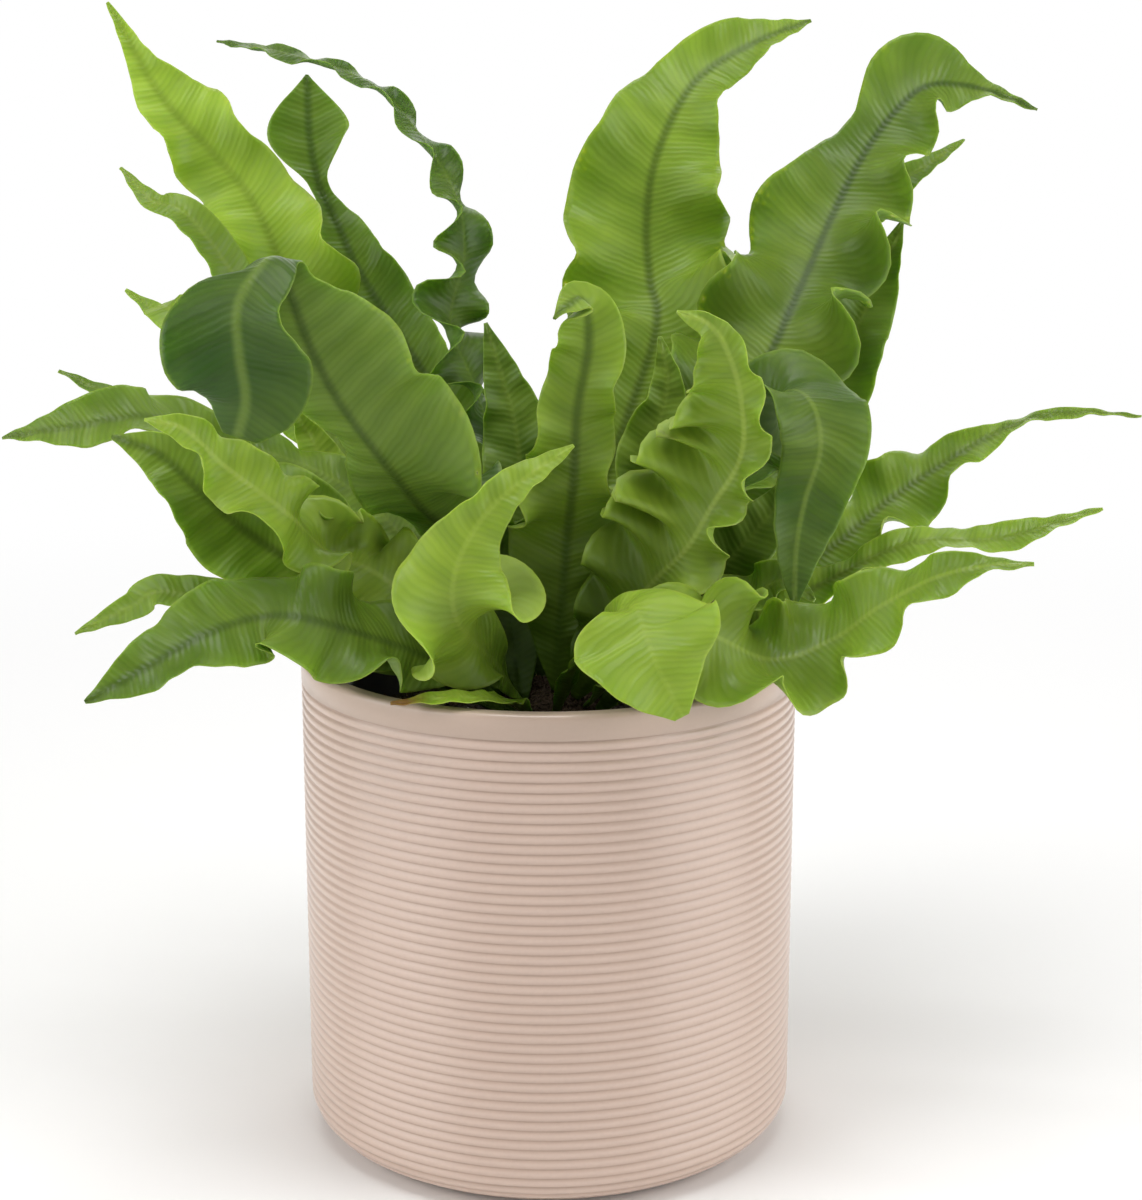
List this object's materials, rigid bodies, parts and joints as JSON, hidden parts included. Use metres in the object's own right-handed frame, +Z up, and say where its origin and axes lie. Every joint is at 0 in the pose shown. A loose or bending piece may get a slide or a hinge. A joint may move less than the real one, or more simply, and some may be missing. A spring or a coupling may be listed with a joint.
{
  "type": "potted fern",
  "caption": "Wavy-leaved bird's-nest fern in a nursery pot, standing in a round glazed ceramic cover pot with fine horizontal ribs.",
  "frame": {"origin": "middle of the cover pot's flat underside", "axes": "+Z up, -Y towards the front view, +X to the front view's right"},
  "size_m": [0.3133, 0.2235, 0.3193],
  "materials": {
    "blush_glaze": "satin pinkish beige glaze",
    "dark_plastic": "matt black nursery pot",
    "potting_soil": "crumbly dark peat mix",
    "crown": "brown scaly rootstock",
    "leaf_young": "glossy light yellow-green leaf",
    "leaf_green": "glossy mid green leaf",
    "leaf_dark": "glossy deep green leaf"
  },
  "bodies": {
    "root": {"cover_pot": "blush_glaze", "crown": "crown", "frond_back_left": "leaf_dark", "frond_back_right": "leaf_green", "frond_folded_left": "leaf_green", "frond_front_curled": "leaf_young", "frond_front_rim": "leaf_young", "frond_front_upright": "leaf_young", "frond_inner_back": "leaf_dark", "frond_inner_right": "leaf_dark", "frond_left_drooping": "leaf_green", "frond_left_inner": "leaf_young", "frond_left_low": "leaf_green", "frond_left_reaching": "leaf_green", "frond_left_short": "leaf_green", "frond_left_sliver": "leaf_green", "frond_left_twisted": "leaf_green", "frond_left_upper": "leaf_green", "frond_left_veined": "leaf_green", "frond_rear": "leaf_dark", "frond_rear_left": "leaf_dark", "frond_rear_low": "leaf_dark", "frond_rear_right": "leaf_dark", "frond_right_curled": "leaf_dark", "frond_right_hanging": "leaf_dark", "frond_right_inner": "leaf_dark", "frond_right_reaching": "leaf_green", "frond_right_ruffled": "leaf_green", "frond_right_shaded": "leaf_dark", "frond_right_slim": "leaf_green", "frond_ruffled_arch": "leaf_dark", "frond_ruffled_upright": "leaf_young", "frond_tall_centre": "leaf_green", "frond_tall_left": "leaf_young", "frond_tall_right": "leaf_green", "frond_yellowing": "leaf_young", "nursery_pot": "dark_plastic", "potting_soil": "potting_soil"}
  },
  "joints": []
}
